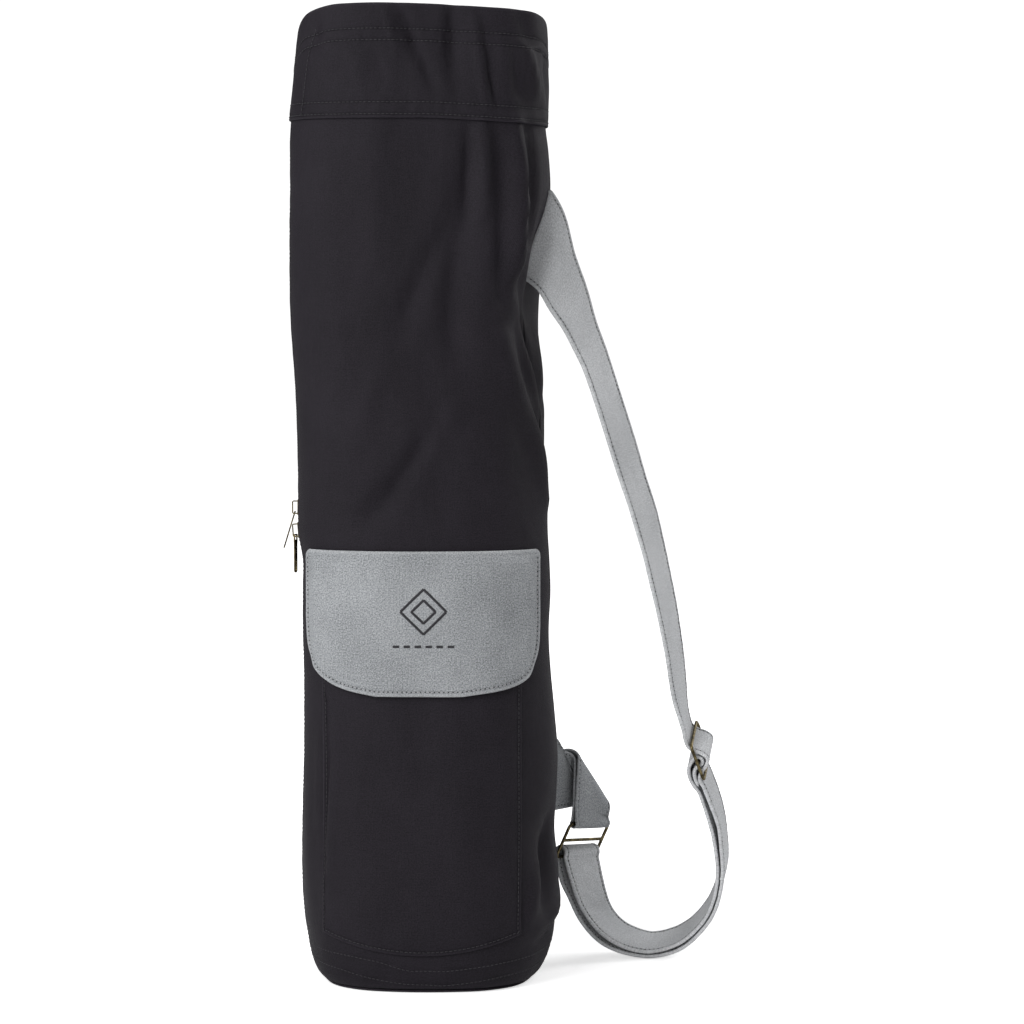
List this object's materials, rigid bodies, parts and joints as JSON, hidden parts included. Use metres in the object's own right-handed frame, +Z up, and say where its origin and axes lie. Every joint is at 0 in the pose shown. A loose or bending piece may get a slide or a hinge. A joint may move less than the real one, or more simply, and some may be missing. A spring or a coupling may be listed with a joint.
{
  "type": "yoga mat bag",
  "caption": "Upright canvas tube bag for a rolled mat, with open collar mouth, side zip with hinged pulls, flapped front pocket and adjustable shoulder strap on metal buckles.",
  "frame": {"origin": "centre of the underside of the base panel, on the surface that the bag stands on", "axes": "+Z up towards the mouth, -Y towards the front with the pocket, +X towards the side with the shoulder strap, zip on the -X side"},
  "size_m": [0.32, 0.1657, 0.6823],
  "materials": {
    "black_canvas": "matt black cotton canvas, twill weave",
    "grey_canvas": "matt light grey cotton canvas, twill weave",
    "zip_cloth": "black woven zip tape and nylon teeth",
    "aged_brass": "antique brass, satin with darkened hollows"
  },
  "bodies": {
    "bag": {"base_panel": "black_canvas", "front_panel": "black_canvas", "back_panel": "black_canvas", "collar": "black_canvas", "pocket": "black_canvas", "pocket_flap": "grey_canvas", "zip_tape": "zip_cloth", "zip_teeth": "zip_cloth", "zip_slider_upper": "aged_brass", "zip_slider_lower": "aged_brass", "shoulder_strap": "grey_canvas", "strap_slider": "aged_brass", "strap_tab": "grey_canvas", "strap_ring": "aged_brass"},
    "pull_upper": {"zip_pull_upper": "aged_brass"},
    "pull_lower": {"zip_pull_lower": "aged_brass"}
  },
  "joints": [
    {"name": "upper_pull_swing", "type": "hinge", "parent": "bag", "child": "pull_upper", "pos_m": [-0.09196, 0, 0.32897], "axis": [0, 1, 0], "range_deg": [0, 110]},
    {"name": "lower_pull_swing", "type": "hinge", "parent": "bag", "child": "pull_lower", "pos_m": [-0.09162, 0, 0.31267], "axis": [0.4067, 0.9135, 0], "range_deg": [-5, 25]}
  ]
}
